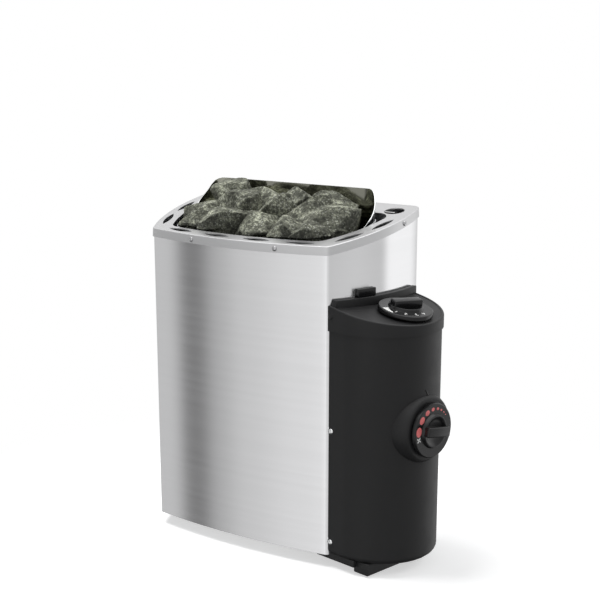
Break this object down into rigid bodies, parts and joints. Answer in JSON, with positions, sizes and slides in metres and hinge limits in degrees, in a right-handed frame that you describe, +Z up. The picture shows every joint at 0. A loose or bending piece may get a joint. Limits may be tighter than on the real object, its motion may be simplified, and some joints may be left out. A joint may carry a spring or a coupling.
{
  "type": "sauna heater",
  "caption": "Wall-hung electric sauna heater: curved steel casing with a slanted slotted collar, stones behind a polished guard, and a black control box with a timer knob and a thermostat knob.",
  "frame": {"origin": "centre of the wall bracket's rear face, which lies on the wall", "axes": "+Z up, +Y into the wall, +X to the right seen from the front; the control box is on the +X side"},
  "size_m": [0.4523, 0.2, 0.4797],
  "materials": {
    "brushed_steel": "satin brushed stainless steel sheet",
    "polished_steel": "polished stainless steel",
    "zinc_steel": "plain zinc-coated steel sheet",
    "black_plastic": "matt black moulded plastic",
    "gloss_plastic": "smooth black moulded plastic",
    "pale_plastic": "pale moulded plastic",
    "red_plastic": "red moulded plastic",
    "element_sheath": "heat-darkened steel sheath",
    "stone": "rough broken dark stone with pale specks"
  },
  "bodies": {
    "heater": {"outer_casing": "brushed_steel", "top_collar": "brushed_steel", "collar_screw_front_left": "polished_steel", "collar_screw_side_left": "polished_steel", "collar_screw_front_right": "polished_steel", "collar_screw_side_right": "polished_steel", "back_plate": "zinc_steel", "wall_bracket": "zinc_steel", "wall_spacer_left": "black_plastic", "wall_spacer_right": "black_plastic", "base_plate": "zinc_steel", "stone_basket": "zinc_steel", "stone_grate": "zinc_steel", "basket_hanger_lower": "zinc_steel", "basket_hanger_upper": "zinc_steel", "heating_element_1": "element_sheath", "heating_element_2": "element_sheath", "heating_element_3": "element_sheath", "stone_fill": "stone", "top_stone_01": "stone", "top_stone_02": "stone", "top_stone_03": "stone", "top_stone_04": "stone", "top_stone_05": "stone", "top_stone_06": "stone", "top_stone_07": "stone", "top_stone_08": "stone", "top_stone_09": "stone", "top_stone_10": "stone", "top_stone_11": "stone", "top_stone_12": "stone", "top_stone_13": "stone", "top_stone_14": "stone", "stone_guard": "polished_steel", "box_housing": "black_plastic", "box_screw_lower": "polished_steel", "box_screw_upper": "polished_steel", "box_lid": "black_plastic", "lid_catch": "gloss_plastic", "box_foot": "black_plastic", "timer_body": "pale_plastic", "thermostat_body": "zinc_steel", "limiter_body": "pale_plastic", "terminal_block": "pale_plastic", "cable_gland": "black_plastic", "thermostat_sensor": "polished_steel", "sensor_clip": "zinc_steel"},
    "timer": {"timer_knob": "gloss_plastic", "timer_shaft": "zinc_steel"},
    "thermostat": {"thermostat_knob": "gloss_plastic", "thermostat_shaft": "zinc_steel"},
    "reset": {"limiter_button": "red_plastic"}
  },
  "joints": [
    {"name": "timer_turn", "type": "hinge", "parent": "heater", "child": "timer", "pos_m": [0.21281, -0.12345, -0.01205], "axis": [0.1842, -0.0341, 0.9823], "range_deg": [-300, 0]},
    {"name": "thermostat_turn", "type": "hinge", "parent": "heater", "child": "thermostat", "pos_m": [0.178, -0.117, -0.154], "axis": [0.9833, -0.1822, 0], "range_deg": [-30, 240]},
    {"name": "reset_press", "type": "slide", "parent": "heater", "child": "reset", "axis": [0, 0, 1], "range_m": [0, 0.0025], "stiffness_N_per_m": 400}
  ]
}
